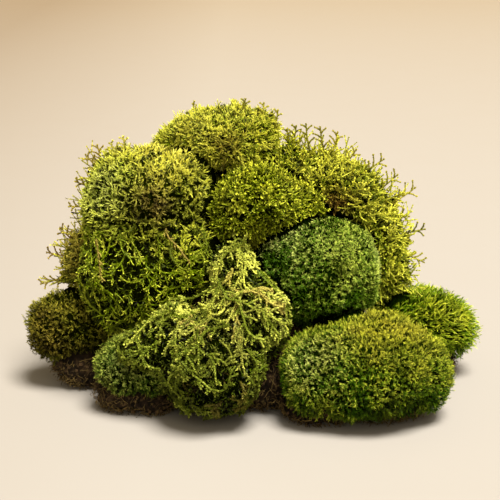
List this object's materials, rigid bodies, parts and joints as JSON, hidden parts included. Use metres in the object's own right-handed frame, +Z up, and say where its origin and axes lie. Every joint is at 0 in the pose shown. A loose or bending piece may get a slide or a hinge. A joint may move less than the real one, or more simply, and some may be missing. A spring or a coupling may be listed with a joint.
{
  "type": "moss clump",
  "caption": "Low heap of moss cushions, feathery moss mounds and trailing leafy shoots grown together on crumbly soil, with a flat underside to rest on.",
  "frame": {"origin": "on the flat underside of the soil heap, in the middle of the clump", "axes": "+Z up; the pictured front faces -Y; +X is to the right as seen from the front"},
  "size_m": [0.2035, 0.1275, 0.1254],
  "materials": {
    "soil": "dry crumbly earth with bark and root threads",
    "front_right_cushion": "fine leafy moss, matt",
    "trailing_mound": "branching feather moss, matt",
    "front_left_cushion": "fine leafy moss, matt",
    "left_cushion": "olive leafy moss, matt",
    "dark_cushion": "fine dark leafy moss with pale tips, matt",
    "right_cushion": "fine leafy moss, matt",
    "upper_left_mound": "feather moss with dry patches, matt",
    "middle_mound": "curly leafy moss, matt",
    "crown_mound": "feather moss, yellowing, matt",
    "right_rear_mound": "branching feather moss, yellowing, matt",
    "left_rear_mound": "branching feather moss, browning, matt",
    "back_mound": "feather moss, matt"
  },
  "bodies": {
    "root": {"soil_heap": "soil", "front_right_soil": "soil", "right_soil": "soil", "front_left_soil": "soil", "left_soil": "soil", "front_right_cushion": "front_right_cushion", "trailing_mound": "trailing_mound", "front_left_cushion": "front_left_cushion", "left_cushion": "left_cushion", "dark_cushion": "dark_cushion", "right_cushion": "right_cushion", "upper_left_mound": "upper_left_mound", "middle_mound": "middle_mound", "crown_mound": "crown_mound", "right_rear_mound": "right_rear_mound", "left_rear_mound": "left_rear_mound", "back_mound": "back_mound"}
  },
  "joints": []
}
